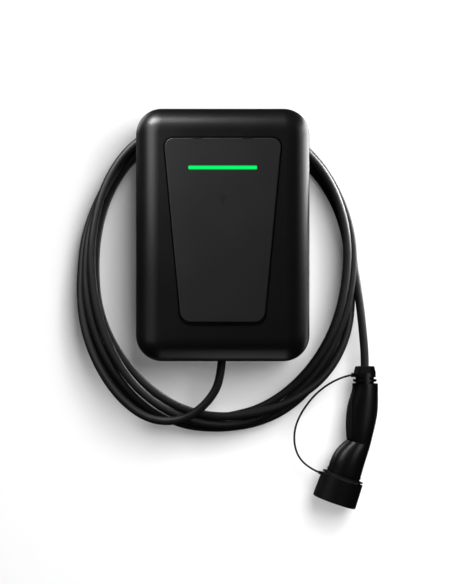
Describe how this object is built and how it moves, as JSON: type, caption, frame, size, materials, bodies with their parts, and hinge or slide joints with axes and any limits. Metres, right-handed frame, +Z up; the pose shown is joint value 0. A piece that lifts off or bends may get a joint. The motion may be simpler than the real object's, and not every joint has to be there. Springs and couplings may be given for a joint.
{
  "type": "ev wallbox",
  "caption": "Wall-mounted vehicle charger: rounded black housing with a tapered front panel and light bar, charging cable wound round its neck, capped connector on the end.",
  "frame": {"origin": "centre of the four wall bolts, on the wall plane", "axes": "+Z up, +Y into the wall (the front faces -Y), +X to the right seen from the front"},
  "size_m": [0.4601, 0.1335, 0.6044],
  "materials": {
    "cover_plastic": "satin black, moulded",
    "panel_plastic": "fine-grained black",
    "light_bar": "translucent, lit green",
    "black_rubber": "matt",
    "cable_sheath": "semi-gloss extruded sheath",
    "bracket_steel": "zinc-plated sheet",
    "screw_steel": "zinc-plated",
    "circuit_board": "solder mask",
    "copper": "bare copper track",
    "lamp_body": "white",
    "grey_plastic": "moulded grey",
    "component_plastic": "moulded black",
    "capacitor_can": "drawn can",
    "lead_insulation": "wire insulation",
    "connector_plastic": "satin black",
    "soft_grip": "soft-touch",
    "insert_plastic": "moulded black",
    "contact_metal": "silver-plated brass",
    "cap_plastic": "satin black"
  },
  "bodies": {
    "housing": {"front_cover": "cover_plastic", "rear_housing": "cover_plastic", "cover_seal": "black_rubber", "supply_grommet": "black_rubber", "cable_seal": "black_rubber", "nose_seal": "black_rubber", "cap_tether": "black_rubber", "cable_lead": "cable_sheath", "cable_coil": "cable_sheath", "cable_tail": "cable_sheath", "wall_bracket": "bracket_steel", "cover_screws": "screw_steel", "lock_screw": "screw_steel", "board_screws": "screw_steel", "clamp_screws": "screw_steel", "main_board": "circuit_board", "light_board": "circuit_board", "reader_board": "circuit_board", "reader_coil": "copper", "lamps": "lamp_body", "supply_terminal": "grey_plastic", "output_terminal": "grey_plastic", "power_relays": "component_plastic", "leakage_sensor": "component_plastic", "supply_transformer": "component_plastic", "capacitors": "capacitor_can", "controller_module": "capacitor_can", "output_leads": "lead_insulation", "cable_clamp": "grey_plastic", "cable_nut": "connector_plastic", "tether_ring": "connector_plastic", "connector_handle": "connector_plastic", "finger_grip": "soft_grip", "thumb_grip": "soft_grip", "contact_insert": "insert_plastic", "contact_sleeves": "contact_metal"},
    "panel": {"front_panel": "panel_plastic", "light_guide": "light_bar"},
    "cap": {"connector_cap": "cap_plastic"}
  },
  "joints": [
    {"name": "panel_swing", "type": "hinge", "parent": "housing", "child": "panel", "pos_m": [0, -0.1286, 0.1437], "axis": [-1, 0, 0], "range_deg": [0, 20]},
    {"name": "cap_pull", "type": "slide", "parent": "housing", "child": "cap", "axis": [-0.3256, 0, -0.9455], "range_m": [0, 0.045], "deforming": ["cap_tether"]}
  ]
}
